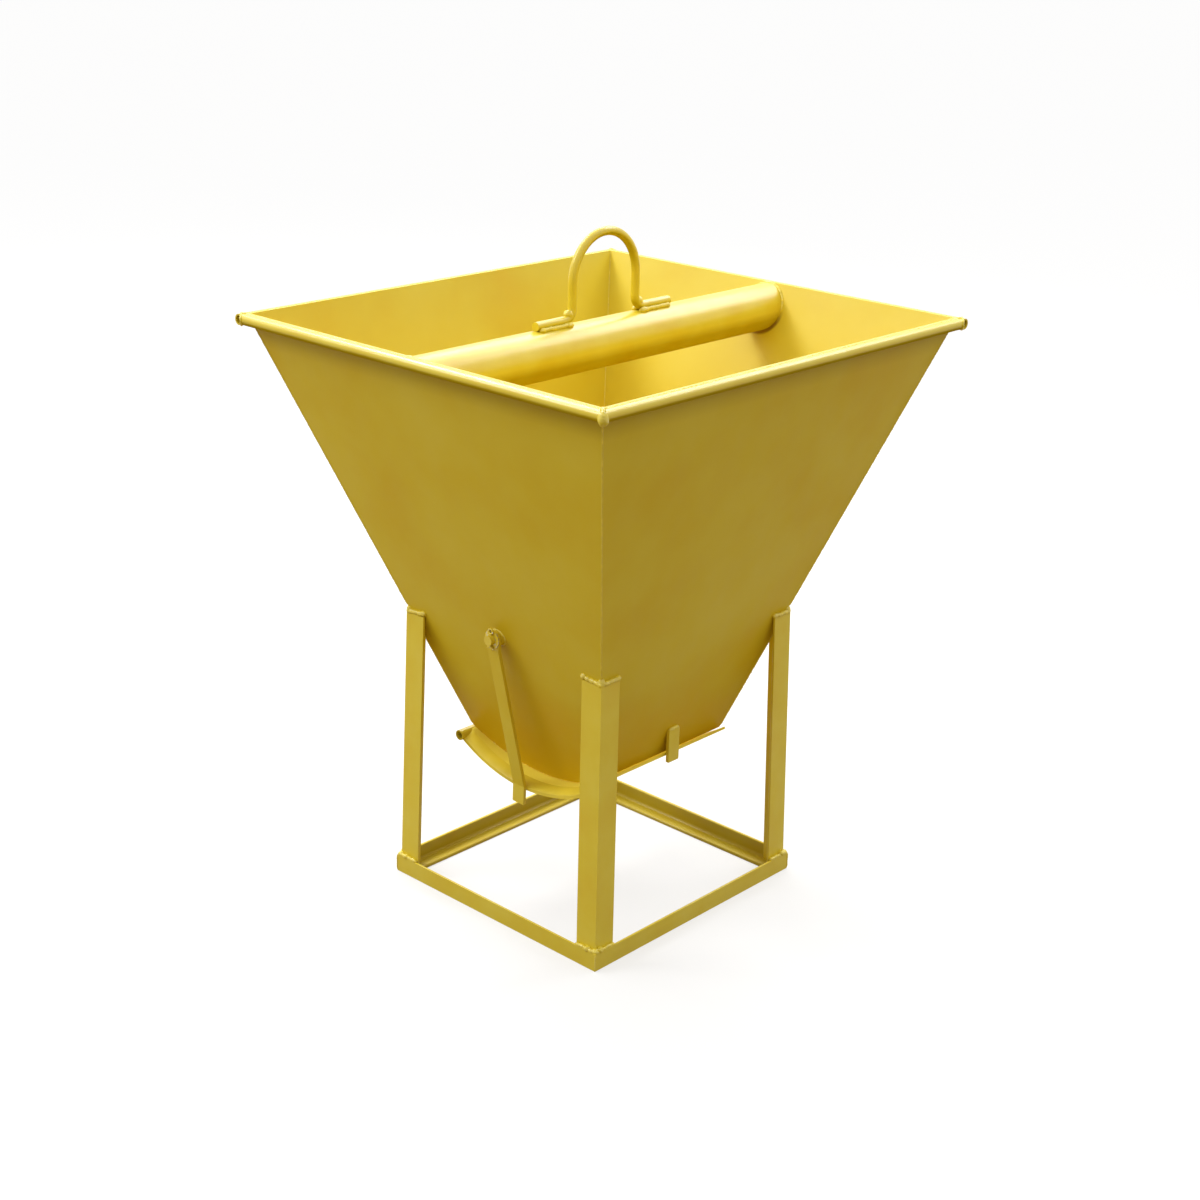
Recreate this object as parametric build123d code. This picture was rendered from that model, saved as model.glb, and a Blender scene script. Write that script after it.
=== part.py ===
"""Hoist bucket: a welded four-sided hopper on an angle stand, closed below by a swinging radial gate.

Sizes are in millimetres. The origin is the centre of the stand's underside and +Z is up. The cross pipe and
the gate's pivots lie along Y, and the gate opens towards -X.
"""
import os
from math import atan2, cos, degrees, hypot, radians, sin, sqrt

from build123d import *

# Hopper plates, widths measured outside
MOUTH = 288.0
MOUTH_Z = 267.0
TOP_X = 735.0
TOP_Y = 807.0
TOP_Z = 956.0
PLATE = 3.0

# Rim tubes and the gate's handle tube
TUBE_OD = 17.2
TUBE_WALL = 2.3
RIM_OVERRUN = 6.0

# Cross pipe, its top a little below the plates' top edges
PIPE_OD = 76.1
PIPE_WALL = 3.2
PIPE_DROP = 1.45

# Lifting loop, its rise measured from the top of the pipe
BAR = 14.0
LOOP_OFFSET = -8.0
LOOP_HALF = 70.0
LOOP_RISE = 139.5
LOOP_BEND = 18.0
LOOP_FOOT = 60.0
LOOP_BEAD = 8.0
LOOP_BEAD_LIFT = 2.0
LOOP_BEAD_SETBACK = 3.5

# Stand
BASE_X = 460.0
BASE_Y = 480.0
BASE_FLANGE = 30.0
LEG_FLANGE = 40.0
ANGLE_T = 5.0
ANGLE_ROOT = 5.0
ANGLE_TOE = 2.5
LEG_TOP = 470.0
TOP_BEAD = 11.0
FOOT_BEAD = 4.0

# Gate: laps and setbacks are measured from the mouth's edges
PIVOT_RISE = 221.0
GATE_GAP = 2.5
GATE_T = 4.0
GATE_STOP_LAP = 11.7
GATE_SIDE_LAP = 6.0
GATE_EAR = 15.4
RIB_W = 20.0
RIB_T = 5.0
RIB_TILT = 24.6
HANDLE_SETBACK = 2.7
HANDLE_STICKOUT = 4.8

# Gate arms
ARM_W = 25.0
ARM_T = 6.0
ARM_LEAN = 1.6
ARM_OVERHANG = 24.9
ARM_EYE = 18.0
ARM_FOOT = 32.0

# Pivots
JOURNAL = 16.0
JOURNAL_END = 6.5
BOSS = 26.0
BOSS_STANDOFF = 1.9
WASHER_OD = 30.0
WASHER_T = 2.5
PIN = 3.2
PIN_EYE = 4.0
PIN_TAIL = 3.2
PIN_SPREAD = 6.4

# Stop tab
TAB_W = 25.0
TAB_T = 6.0
TAB_OFFSET = 6.0
TAB_DROP = 11.3
TAB_LAP = 4.0

# Clearances
SEAT = 0.05
RUN = 0.05
SIDE_PLAY = 0.3
STOP_GAP = 0.4

SIDES = ("front", "right", "back", "left")

# Values that follow from the sizes above
SLOPE_X = (TOP_X - MOUTH) / 2 / (TOP_Z - MOUTH_Z)
SLOPE_Y = (TOP_Y - MOUTH) / 2 / (TOP_Z - MOUTH_Z)
LAY_X = sqrt(1 + SLOPE_X**2)
LAY_Y = sqrt(1 + SLOPE_Y**2)
PIVOT_Z = MOUTH_Z + PIVOT_RISE
WALL_ARC = hypot(MOUTH / 2, PIVOT_RISE)
GATE_R = WALL_ARC + GATE_GAP
CUT = 2 * max(TOP_X, TOP_Y)


def wall_x(z):
    """Half the hopper's outside width along X at a height."""
    return MOUTH / 2 + SLOPE_X * (z - MOUTH_Z)


def wall_y(z):
    """Half the hopper's outside width along Y at a height."""
    return MOUTH / 2 + SLOPE_Y * (z - MOUTH_Z)


def ring(z, inset):
    """The hopper's four outside corners at a height, its faces moved in by a distance."""
    x = wall_x(z) - inset * LAY_X
    y = wall_y(z) - inset * LAY_Y
    return [(-x, -y, z), (x, -y, z), (x, y, z), (-x, y, z)]


def frustum(inset, low, high):
    """The hopper's outside as a solid, its faces moved in by a distance."""
    return loft([make_face(Polyline(*ring(z, inset), close=True)) for z in (low, high)], ruled=True)


def plate(side, low):
    """One sloping plate, mitred at the corners; side counts from the front one."""
    after = (side + 1) % len(SIDES)
    sections = []
    for z in (low, TOP_Z):
        outer = ring(z, 0)
        inner = ring(z, PLATE)
        sections.append(make_face(Polyline(outer[side], outer[after], inner[after], inner[side], close=True)))
    return loft(sections, ruled=True)


def block(xs, ys, zs):
    """Box between two values on each axis."""
    low = (xs[0], ys[0], zs[0])
    return Pos(*low) * Box(xs[1] - xs[0], ys[1] - ys[0], zs[1] - zs[0], align=Align.MIN)


def rod(radius, start, end):
    """Solid round bar between two points."""
    axis = Vector(*end) - Vector(*start)
    face = Plane(origin=start, z_dir=axis) * Circle(radius)
    return extrude(face, axis.length)


def tube(od, wall, start, end):
    """Round tube between two points."""
    return rod(od / 2, start, end) - rod(od / 2 - wall, start, end)


def prism(points, along):
    """Straight solid with a polygon section, drawn in space and pushed along a vector."""
    face = make_face(Polyline(*points, close=True))
    return extrude(face, amount=Vector(*along).length, dir=along)


def angle_bar(size, turn, along):
    """Rolled equal angle pushed along a vector; heel on the origin, flanges on +X and +Y before the turn."""
    section = Rectangle(size, size, align=Align.MIN)
    section -= Pos(ANGLE_T, ANGLE_T) * Rectangle(size, size, align=Align.MIN)
    section = fillet(section.vertices().sort_by_distance((ANGLE_T, ANGLE_T))[0], ANGLE_ROOT)
    toes = [section.vertices().sort_by_distance(tip)[0] for tip in ((size, ANGLE_T), (ANGLE_T, size))]
    section = fillet(toes, ANGLE_TOE)
    return extrude(Rot(0, 0, turn) * section, amount=Vector(*along).length, dir=along)


def corner_weld(corner, reach, x_section, y_section):
    """Weld along both flanges of a leg; the sections hold (x, z) and (y, z) points, reach its lengths."""
    along_y = prism([(x, corner[1], z) for x, z in x_section], (0, reach[1], 0))
    along_x = prism([(corner[0], y, z) for y, z in y_section], (reach[0], 0, 0))
    return along_y + along_x


def sector(inner, outer, start, end, ys):
    """Part of a ring about the gate's pivot; angles in degrees from straight down, positive towards +X."""
    def at(radius, angle):
        return (radius * sin(radians(angle)), -radius * cos(radians(angle)))
    middle = (start + end) / 2
    edges = [
        ThreePointArc(at(inner, start), at(inner, middle), at(inner, end)),
        Line(at(inner, end), at(outer, end)),
        ThreePointArc(at(outer, end), at(outer, middle), at(outer, start)),
        Line(at(outer, start), at(inner, start)),
    ]
    plane = Plane(origin=(0, ys[1], PIVOT_Z), x_dir=(1, 0, 0), z_dir=(0, -1, 0))
    return extrude(plane * make_face(edges), ys[1] - ys[0])


def bent_bar(section, start, end):
    """Bar bent about the gate's pivot; the section holds (y, radius) points, angles as for a sector."""
    turn = radians(start)
    points = [(radius * sin(turn), y, PIVOT_Z - radius * cos(turn)) for y, radius in section]
    face = make_face(Polyline(*points, close=True))
    return revolve(face, Axis((0, 0, PIVOT_Z), (0, -1, 0)), end - start)


nodes = {}

# Hopper plates: the front and back ones run on below the mouth and end in an arc about the pivot
arc_low = PIVOT_Z - WALL_ARC - PLATE
arc_keep = block((-CUT, CUT), (-CUT, CUT), (MOUTH_Z, TOP_Z))
arc_keep += rod(WALL_ARC, (0, -CUT, PIVOT_Z), (0, CUT, PIVOT_Z))
for side, name in enumerate(SIDES):
    if name in ("front", "back"):
        nodes[f"{name}_wall"] = plate(side, arc_low) & arc_keep
    else:
        nodes[f"{name}_wall"] = plate(side, MOUTH_Z)
outside = frustum(-SEAT, MOUTH_Z, TOP_Z)
inside = frustum(PLATE + SEAT, MOUTH_Z, TOP_Z)

# Rim tubes: the left and back ones run past a corner, the others butt on them, the near corner is mitred
rim_z = TOP_Z - TUBE_OD / 2
rim_x = wall_x(rim_z) + (TUBE_OD / 2 + SEAT) * LAY_X
rim_y = wall_y(rim_z) + (TUBE_OD / 2 + SEAT) * LAY_Y
end_x = rim_x + RIM_OVERRUN
end_y = rim_y + RIM_OVERRUN
cope_left = rod(TUBE_OD / 2 + SEAT, (-rim_x, -CUT, rim_z), (-rim_x, CUT, rim_z))
cope_back = rod(TUBE_OD / 2 + SEAT, (-CUT, rim_y, rim_z), (CUT, rim_y, rim_z))
near_mitre = Plane(origin=(rim_x, -rim_y, rim_z), z_dir=(1, 1, 0))
left_tube = tube(TUBE_OD, TUBE_WALL, (-rim_x, -end_y, rim_z), (-rim_x, rim_y + TUBE_OD / 2, rim_z))
back_tube = tube(TUBE_OD, TUBE_WALL, (-rim_x, rim_y, rim_z), (end_x, rim_y, rim_z)) - cope_left
front_tube = tube(TUBE_OD, TUBE_WALL, (-rim_x, -rim_y, rim_z), (end_x, -rim_y, rim_z)) - cope_left
right_tube = tube(TUBE_OD, TUBE_WALL, (rim_x, -end_y, rim_z), (rim_x, rim_y, rim_z)) - cope_back
nodes["left_rim_tube"] = left_tube
nodes["back_rim_tube"] = back_tube
nodes["front_rim_tube"] = split(front_tube, bisect_by=near_mitre, keep=Keep.BOTTOM)
nodes["right_rim_tube"] = split(right_tube, bisect_by=near_mitre, keep=Keep.TOP)

# Cross pipe, its ends cut to the plates' slope
pipe_top = TOP_Z - PIPE_DROP
pipe_z = pipe_top - PIPE_OD / 2
nodes["cross_pipe"] = tube(PIPE_OD, PIPE_WALL, (0, -CUT, pipe_z), (0, CUT, pipe_z)) & inside

# Lifting loop
foot_z = pipe_top + BAR / 2 + SEAT
loop_z = pipe_top + LOOP_RISE - BAR / 2
spring_z = loop_z - LOOP_HALF
bend_y = LOOP_HALF + LOOP_BEND
bend_z = foot_z + LOOP_BEND
foot_y = bend_y + LOOP_FOOT
half_turn = LOOP_BEND * sin(radians(45))
path = [ThreePointArc((0, -LOOP_HALF, spring_z), (0, 0, loop_z), (0, LOOP_HALF, spring_z))]
for side in (-1, 1):
    bend_middle = (0, side * (bend_y - half_turn), bend_z - half_turn)
    path.append(Line((0, side * foot_y, foot_z), (0, side * bend_y, foot_z)))
    path.append(ThreePointArc((0, side * bend_y, foot_z), bend_middle, (0, side * LOOP_HALF, bend_z)))
    path.append(Line((0, side * LOOP_HALF, bend_z), (0, side * LOOP_HALF, spring_z)))
loop_section = Plane(origin=(0, -foot_y, foot_z), z_dir=(0, 1, 0)) * Circle(BAR / 2)
nodes["lifting_loop"] = Pos(0, LOOP_OFFSET, 0) * sweep(loop_section, path=Wire(path))

# Weld beads along both sides of the loop's feet
bead_x = BAR / 2
bead_z = pipe_z + sqrt((PIPE_OD / 2)**2 - bead_x**2) + LOOP_BEAD_LIFT
bead_end = foot_y - LOOP_BEAD_SETBACK
pipe_room = rod(PIPE_OD / 2 + SEAT, (0, -CUT, pipe_z), (0, CUT, pipe_z))
foot_room = rod(BAR / 2 + SEAT, (0, -CUT, foot_z), (0, CUT, foot_z))
loop_beads = []
for side in (-1, 1):
    for face in (-1, 1):
        start = (face * bead_x, LOOP_OFFSET + side * bend_y, bead_z)
        end = (face * bead_x, LOOP_OFFSET + side * bead_end, bead_z)
        bead = rod(LOOP_BEAD / 2, start, end) - pipe_room - foot_room
        loop_beads.append(bead.solid())
nodes["loop_welds"] = Compound(children=loop_beads)

# Base bars, mitred at the corners
for side, name in enumerate(SIDES):
    length, across = (BASE_X, BASE_Y) if name in ("front", "back") else (BASE_Y, BASE_X)
    bar = Pos(length / 2, -across / 2, 0) * Rot(0, -90, 0) * angle_bar(BASE_FLANGE, 0, (0, 0, length))
    outline = Polyline(
        (-length / 2, -across / 2, 0),
        (length / 2, -across / 2, 0),
        (length / 2 - BASE_FLANGE, BASE_FLANGE - across / 2, 0),
        (BASE_FLANGE - length / 2, BASE_FLANGE - across / 2, 0),
        close=True,
    )
    nodes[f"{name}_base_bar"] = Rot(0, 0, 90 * side) * (bar & extrude(make_face(outline), BASE_FLANGE))

# Legs: ground to sit in the base bars' roots, they lean in until their tops meet the plates
leg_x = BASE_X / 2 - ANGLE_T - SEAT
leg_y = BASE_Y / 2 - ANGLE_T - SEAT
leg_low = ANGLE_T + SEAT
leg_top_x = wall_x(LEG_TOP) + 2 * SEAT * LAY_X + ANGLE_T
leg_top_y = wall_y(LEG_TOP) + 2 * SEAT * LAY_Y + ANGLE_T
bead_top = LEG_TOP + TOP_BEAD
foot_low = BASE_FLANGE
foot_high = BASE_FLANGE + FOOT_BEAD + ANGLE_T / 2
top_welds = []
foot_welds = []
corners = (("front_left", -1, -1), ("front_right", 1, -1), ("back_right", 1, 1), ("back_left", -1, 1))
for turn, (name, sx, sy) in enumerate(corners):
    x = sx * leg_x
    y = sy * leg_y
    top_x = sx * leg_top_x
    top_y = sy * leg_top_y
    leg = Pos(x, y, leg_low) * angle_bar(LEG_FLANGE, 90 * turn, (top_x - x, top_y - y, LEG_TOP - leg_low))
    leg -= outside
    for side in name.split("_"):
        leg -= nodes[f"{side}_base_bar"]
    nodes[f"{name}_leg"] = leg
    top_reach = (-sx * LEG_FLANGE, -sy * LEG_FLANGE)
    foot_reach = (-sx * (LEG_FLANGE + FOOT_BEAD), -sy * (LEG_FLANGE + FOOT_BEAD))
    x_section = [(top_x, LEG_TOP), (sx * wall_x(LEG_TOP), LEG_TOP), (sx * wall_x(bead_top), bead_top)]
    y_section = [(top_y, LEG_TOP), (sy * wall_y(LEG_TOP), LEG_TOP), (sy * wall_y(bead_top), bead_top)]
    top_weld = corner_weld((top_x, top_y), top_reach, x_section, y_section) - outside
    top_welds.extend(top_weld.solids())
    x_out = x + sx * FOOT_BEAD
    y_out = y + sy * FOOT_BEAD
    x_in = x - sx * ANGLE_T / 2
    y_in = y - sy * ANGLE_T / 2
    x_section = [(x_out, foot_low), (x_in, foot_low), (x_in, foot_high)]
    y_section = [(y_out, foot_low), (y_in, foot_low), (y_in, foot_high)]
    foot_weld = corner_weld((x_out, y_out), foot_reach, x_section, y_section) - leg
    foot_welds.extend(foot_weld.solids())
nodes["leg_top_welds"] = Compound(children=top_welds)
nodes["leg_foot_welds"] = Compound(children=foot_welds)

# Gate plate with its handle tube and its ribs, flat bars that slope down from the plate's side edges; the back
# edge is trimmed beside the ear that takes the back rib
mouth_angle = degrees(atan2(MOUTH / 2, PIVOT_RISE))
stop_edge = mouth_angle + degrees(GATE_STOP_LAP / GATE_R)
handle_edge = degrees(HANDLE_SETBACK / GATE_R) - mouth_angle
ear_edge = degrees((ARM_W / 2 + GATE_EAR) / GATE_R) - ARM_LEAN
handle_r = GATE_R + TUBE_OD / 2
handle_x = handle_r * sin(radians(handle_edge))
handle_z = PIVOT_Z - handle_r * cos(radians(handle_edge))
skin_r = GATE_R + GATE_T
trim_y = MOUTH / 2
rib_in = trim_y + GATE_SIDE_LAP
rib_out = rib_in + RIB_W * cos(radians(RIB_TILT))
rib_fall = RIB_W * sin(radians(RIB_TILT))
rib_depth = RIB_T / cos(radians(RIB_TILT))
rib_r = GATE_R + rib_fall + rib_depth
rib_section = [(rib_in, GATE_R), (rib_out, GATE_R + rib_fall), (rib_out, rib_r), (rib_in, GATE_R + rib_depth)]
handle_y = rib_out + HANDLE_STICKOUT
handle_room = rod(TUBE_OD / 2 + SEAT, (handle_x, -CUT, handle_z), (handle_x, CUT, handle_z))
skin = sector(GATE_R, skin_r, handle_edge, stop_edge, (-rib_in, trim_y))
skin += sector(GATE_R, skin_r, handle_edge, ear_edge, (trim_y, rib_in))
front_rib = bent_bar([(-y, radius) for y, radius in rib_section], handle_edge, stop_edge)
back_rib = bent_bar(rib_section, handle_edge, ear_edge)
nodes["gate_plate"] = skin - handle_room
nodes["front_gate_rib"] = front_rib - handle_room
nodes["back_gate_rib"] = back_rib - handle_room
nodes["gate_handle_tube"] = tube(
    TUBE_OD, TUBE_WALL, (handle_x, -handle_y, handle_z), (handle_x, handle_y, handle_z)
)

# Gate arms: flat bar, square to the pivot at the eye, set in to the rib at the foot
boss_face = wall_y(PIVOT_Z + BOSS / 2) + BOSS_STANDOFF
arm_face = boss_face + SIDE_PLAY
arm_reach = rib_r + ARM_OVERHANG
foot_face = rib_out + SEAT
foot_start = arm_reach - ARM_FOOT
inner_line = [(arm_face, ARM_W / 2), (arm_face, -ARM_EYE), (foot_face, -foot_start), (foot_face, -arm_reach)]
outer_line = [(y + ARM_T, z) for y, z in reversed(inner_line)]
arm_points = [(-ARM_W / 2, -y, z) for y, z in inner_line + outer_line]
arm_outline = rod(ARM_W / 2, (0, -CUT, 0), (0, 0, 0))
arm_outline += block((-ARM_W / 2, ARM_W / 2), (-CUT, 0), (-arm_reach, 0))
arm = prism(arm_points, (ARM_W, 0, 0)) & arm_outline
arm -= rod(JOURNAL / 2 + RUN, (0, -CUT, 0), (0, 0, 0))
nodes["front_gate_arm"] = Pos(0, 0, PIVOT_Z) * Rot(0, ARM_LEAN, 0) * arm
nodes["back_gate_arm"] = mirror(nodes["front_gate_arm"], about=Plane.XZ)

# Pivots: boss cut to the plate's slope, journal, washer and split pin
washer_face = arm_face + ARM_T + SIDE_PLAY
washer_back = washer_face + WASHER_T
pin_y = washer_back + SIDE_PLAY + PIN / 2
stub = rod(BOSS / 2, (0, 0, PIVOT_Z), (0, -boss_face, PIVOT_Z)) - outside
stub += rod(JOURNAL / 2, (0, -boss_face, PIVOT_Z), (0, -pin_y - JOURNAL_END, PIVOT_Z))
stub -= rod(PIN / 2 + RUN, (0, -pin_y, PIVOT_Z - BOSS), (0, -pin_y, PIVOT_Z + BOSS))
washer_wall = (WASHER_OD - JOURNAL) / 2 - SEAT
washer = tube(WASHER_OD, washer_wall, (0, -washer_face, PIVOT_Z), (0, -washer_back, PIVOT_Z))
eye_z = PIVOT_Z + JOURNAL / 2 + PIN / 2 + PIN_EYE + SIDE_PLAY
tail_z = PIVOT_Z - JOURNAL / 2 - PIN
pin = rod(PIN / 2, (0, -pin_y, tail_z), (0, -pin_y, eye_z - PIN_EYE))
pin += Pos(0, -pin_y, eye_z) * Rot(90, 0, 0) * Torus(PIN_EYE, PIN / 2)
for side in (-1, 1):
    pin += rod(PIN / 2, (0, -pin_y, tail_z), (side * PIN_SPREAD, -pin_y, tail_z - PIN_TAIL))
for name, part in (("pivot_stub", stub), ("pivot_washer", washer), ("split_pin", pin)):
    nodes[f"front_{name}"] = part
    nodes[f"back_{name}"] = mirror(part, about=Plane.XZ)

# Stop tab: its inner face stands just clear of the closed gate's edge, its top is laid on the right plate
tab_x = skin_r * sin(radians(stop_edge)) + STOP_GAP
tab_low = PIVOT_Z - skin_r * cos(radians(stop_edge)) - TAB_DROP
tab_top = MOUTH_Z + (tab_x - MOUTH / 2) / SLOPE_X + TAB_LAP
tab_start = TAB_OFFSET - TAB_W / 2
tab = block((tab_x, tab_x + TAB_T), (tab_start, tab_start + TAB_W), (tab_low, tab_top))
nodes["stop_tab"] = tab - outside
weld_top = tab_top + FOOT_BEAD
tab_bead = [
    (tab_x + TAB_T, tab_start, tab_top),
    (wall_x(tab_top), tab_start, tab_top),
    (wall_x(weld_top), tab_start, weld_top),
]
nodes["stop_tab_weld"] = prism(tab_bead, (0, TAB_W, 0)) - outside

os.makedirs("parts", exist_ok=True)
for name, part in nodes.items():
    export_step(part, f"parts/{name}.step")
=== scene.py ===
"""Looks of the hoist bucket: paint, welds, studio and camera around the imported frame. Sizes are in metres."""
import math

import bmesh
import bpy
from mathutils import Matrix, Vector, noise


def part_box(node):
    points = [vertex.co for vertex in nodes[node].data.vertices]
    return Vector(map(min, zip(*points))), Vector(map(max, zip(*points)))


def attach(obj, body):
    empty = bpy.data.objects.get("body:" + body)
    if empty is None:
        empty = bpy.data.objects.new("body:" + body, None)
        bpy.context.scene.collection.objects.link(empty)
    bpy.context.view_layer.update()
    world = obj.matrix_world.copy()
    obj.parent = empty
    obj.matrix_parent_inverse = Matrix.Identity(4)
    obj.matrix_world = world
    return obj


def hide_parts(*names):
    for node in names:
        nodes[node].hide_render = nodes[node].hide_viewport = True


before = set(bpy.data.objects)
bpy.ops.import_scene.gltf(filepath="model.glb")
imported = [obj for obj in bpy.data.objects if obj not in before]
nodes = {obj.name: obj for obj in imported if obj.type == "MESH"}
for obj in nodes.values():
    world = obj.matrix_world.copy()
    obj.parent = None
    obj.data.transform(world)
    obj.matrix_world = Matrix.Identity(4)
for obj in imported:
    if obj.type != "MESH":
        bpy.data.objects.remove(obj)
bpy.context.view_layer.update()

# Camera, fitted to the photograph: angles in degrees, distances in metres, lens and sensor in millimetres
CAMERA_AZIMUTH = 42.62
CAMERA_ELEVATION = 20.61
CAMERA_ROLL = 1.46
CAMERA_DISTANCE = 3.1735
CAMERA_TARGET_Z = 0.48995
CAMERA_LENS = 58.86
CAMERA_SENSOR = 36.0
CAMERA_FAR = 100

# Paint and steel, in linear colour
YELLOW = (0.73, 0.570, 0.030)
YELLOW_DEEP = (0.71, 0.525, 0.018)
YELLOW_PALE = (0.75, 0.605, 0.050)
ORANGE = (0.71, 0.47, 0.008)
# Paler yellows: painted light on the gate's ledge and rib, painted highlights on the welds
LIT_YELLOW = (0.90, 0.72, 0.050)
LIT_LEMON = (0.97, 0.84, 0.10)
STEEL = (0.50, 0.45, 0.34)

# Tints which multiply the paint's colour: painted shade, and a plainer colour for the gate's plate inside the
# mouth
# Painted shade below the rim, under round stock and inside the stand's frame
SHADE_TINT = (0.68, 0.66, 0.40)
# Painted shade in the gaps below the cross pipe's ends
GAP_SHADE_TINT = (0.42, 0.30, 0.40)
# Takes the painted light off the gate's plate inside the mouth
UNLIT_GATE_TINT = (0.88, 0.80, 0.40)

# Reach of the painted shade; a lean is 0 on faces that look straight down and 1 on faces that look straight up
DOWN_LEAN = (0.3, 0.5)
UP_LEAN = (0.5, 0.6)
PLATE_SHADE_DEPTH = 0.045
FRAME_SHADE_FROM = 0.003
FRAME_SHADE_FULL = 0.0045
GAP_SHADE_CORE = 0.0040
GAP_SHADE_WIDTH = 0.0075
GAP_SHADE_TAPER = 0.022

# Enamel: its noises, the leans that its shine is given at, and the height and depth of the plates' fade, which
# is painted bounce light
PATCH_DETAIL = 5
DENT_DETAIL = 2
PEEL_DETAIL = 3
HAZE_SCALE = 34
HAZE_DETAIL = 4
HAZE_STRETCH = (1, 1, 0.35)
SHINE_LEANS = (0.34, 0.5, 0.85)
FADE_HEIGHT = 0.24
FADE_SHIFT = -0.34

# Spatter on bare steel: bare below the first level of its noise and painted above the second
SPATTER_SCALE = 160
SPATTER_DETAIL = 4
SPATTER_LEVELS = (0.4, 0.5)
SPATTER_HEIGHT = 0.0003
STEEL_ROUGHNESS = (0.3, 0.55)

# Rounded edges of bars and flats; edges that turn by more than the angle, in degrees, are rounded
EDGE_ROUND = 0.0007
EDGE_SEGMENTS = 2
EDGE_ANGLE = 50
JOIN_DISTANCE = 0.00001

# Weld beads: radii
SEAM_BEAD = 0.0012
RIM_BEAD = 0.0025
GROOVE_BEAD = 0.0028
PIPE_BEAD = 0.0026
LOOP_BEAD = 0.0042
LEG_BEAD = 0.0044
FOOT_BEAD = 0.0036
SMALL_BEAD = 0.0023
MITRE_BEAD = 0.0040
FINE_BEAD = 0.0012

# Weld beads: lengths of a ripple, of a stitch and of the gap after it
RIPPLE = 0.005
STITCH = 0.030
STITCH_GAP = 0.09

# Meshes of beads and lumps; a side vector shorter than the least side is taken anew
RIPPLE_STEPS = 3
BEAD_SIDES = 10
LEAST_SIDE = 0.1
LUMP_SUBDIVISIONS = 3

# Uneven shape of beads and lumps as shares of their radius, with the steps and shifts of the noise behind it
BEAD_MEAN = 0.86
BEAD_RIPPLE = 0.14
BEAD_SWELL = 0.22
BEAD_DRIFT = 0.2
BEAD_END = 0.45
BEAD_END_STEP = 0.3
BEAD_NOISE_STEP = 0.31
BEAD_NOISE_SEED = 7.7
DRIFT_SHIFT = Vector((0, 0, 9))
LUMP_ROUGHNESS = 0.2
LUMP_NOISE_SCALE = 1.6
LUMP_NOISE_SEED = 3.3

# Hopper's and base's seams: where they end
SEAM_OVER_LEG = 0.012
SEAM_UNDER_LEG = 0.035
SEAM_OVER_MOUTH = 0.004
SEAM_SETBACK = 0.002

# Rim's beads: how far they lie down and out, the shares of a side that stitches lie between, the mitre's knob
GROOVE_SINK = 0.0018
GROOVE_OUT = 0.0024
UNDER_SINK = 0.0022
UNDER_OUT = 0.0008
UNDER_ENDS = (0.04, 0.96)
RIM_STEPS = 48
KNOB_OUT = 0.0058
KNOB_SINK = 0.0015
KNOB_SIZE = (0.0070, 0.0070, 0.0100)

# Cross pipe's beads: how far they go on below the pipe's middle, in degrees, and their steps
PIPE_WELD_DIP = 5
PIPE_STEPS = 40

# Lifting loop's beads and lumps: bend radius of the knees, distances from the bar, the knees and the ends
KNEE = 0.018
KNEE_LUMP_OUT = 0.002
KNEE_LUMP = (0.0075, 0.0068, 0.0068)
LOOP_OUT = 0.0005
LOOP_LIFT = 0.0022
LOOP_BACK = 0.006
NEAR_LUMP_BACK = 0.004
NEAR_LUMP = (0.0055, 0.0085, 0.0046)
END_LUMP_BACK = 0.009
END_LUMP_SHARE = 0.9
END_LUMP = (0.0050, 0.0060, 0.0042)

# Leg tops: the fillet's distance from the corner, how far its ends stop short and rise, and its lumps
TOP_OUT = 0.0032
TOP_LIFT = 0.0016
TOP_SHORT = 0.004
TOP_RISE_X = 0.003
TOP_RISE_Y = 0.001
TOP_LUMP_RISE = 0.004
TOP_LUMP_X = (0.0052, 0.0046, 0.0050)
TOP_LUMP_Y = (0.0044, 0.0050, 0.0042)
HEEL_LUMP_LIFT = 0.004
HEEL_LUMP = (0.0052, 0.0052, 0.0080)

# Leg feet: the bead's place at the base's corner, how far it runs past the leg, and the steps to its lumps
FOOT_IN = 0.0030
FOOT_LIFT = 0.0012
FOOT_PAST = 0.002
FOOT_LUMP_STEPS = ((0.003, 0.003, 0), (0.017, 0, -0.001), (0, 0.011, -0.0015))
FOOT_LUMP = (0.0054, 0.0054, 0.0046)

# Pivots' bosses and stop tab
BOSS_STEPS = 40
TAB_INSET = 0.001
TAB_LIFT = 0.0005

# Gate: distance of the beads from their edges, their steps, the handle's stitches, height of an arm's foot
GATE_LAP = 0.001
GATE_STEPS = 8
HANDLE_STITCHES = (-0.11, 0.0, 0.11)
ARM_FOOT = 0.002

# Studio; the brightest sky is a little to the back left of straight up
SKY_TOP = (-0.17, 0.18, 0.969)
SKY_STRENGTH = 1.4
SKY_LOW = (0.20, 0.166, 0.125)
SKY_WARM = (0.42, 0.395, 0.36)
FLOOR_SIZE = 60
FLOOR_PALE = 0.9
FLOOR_GLOW = 0.6
GROUND = (0.29, 0.222, 0.135)

# Sockets of the Mix node when it mixes colours
MIX_AMOUNT = 0
MIX_COLOUR = 6
MIX_TINT = 7
MIX_RESULT = 2

CORNERS = [(-1, -1), (1, -1), (1, 1), (-1, 1)]
HAIR = 0.0002


# Sizes read from the frame
def middle(node, axis):
    """Middle of a node's box along an axis."""
    low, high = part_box(node)
    return (low[axis] + high[axis]) / 2


def half(node, axis):
    """Half of a node's box along an axis."""
    low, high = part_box(node)
    return (high[axis] - low[axis]) / 2


def extreme(node, axis, z, pick):
    """Largest or smallest coordinate of a node's vertices at a height."""
    return pick(v.co[axis] for v in nodes[node].data.vertices if abs(v.co.z - z) <= HAIR)


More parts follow.
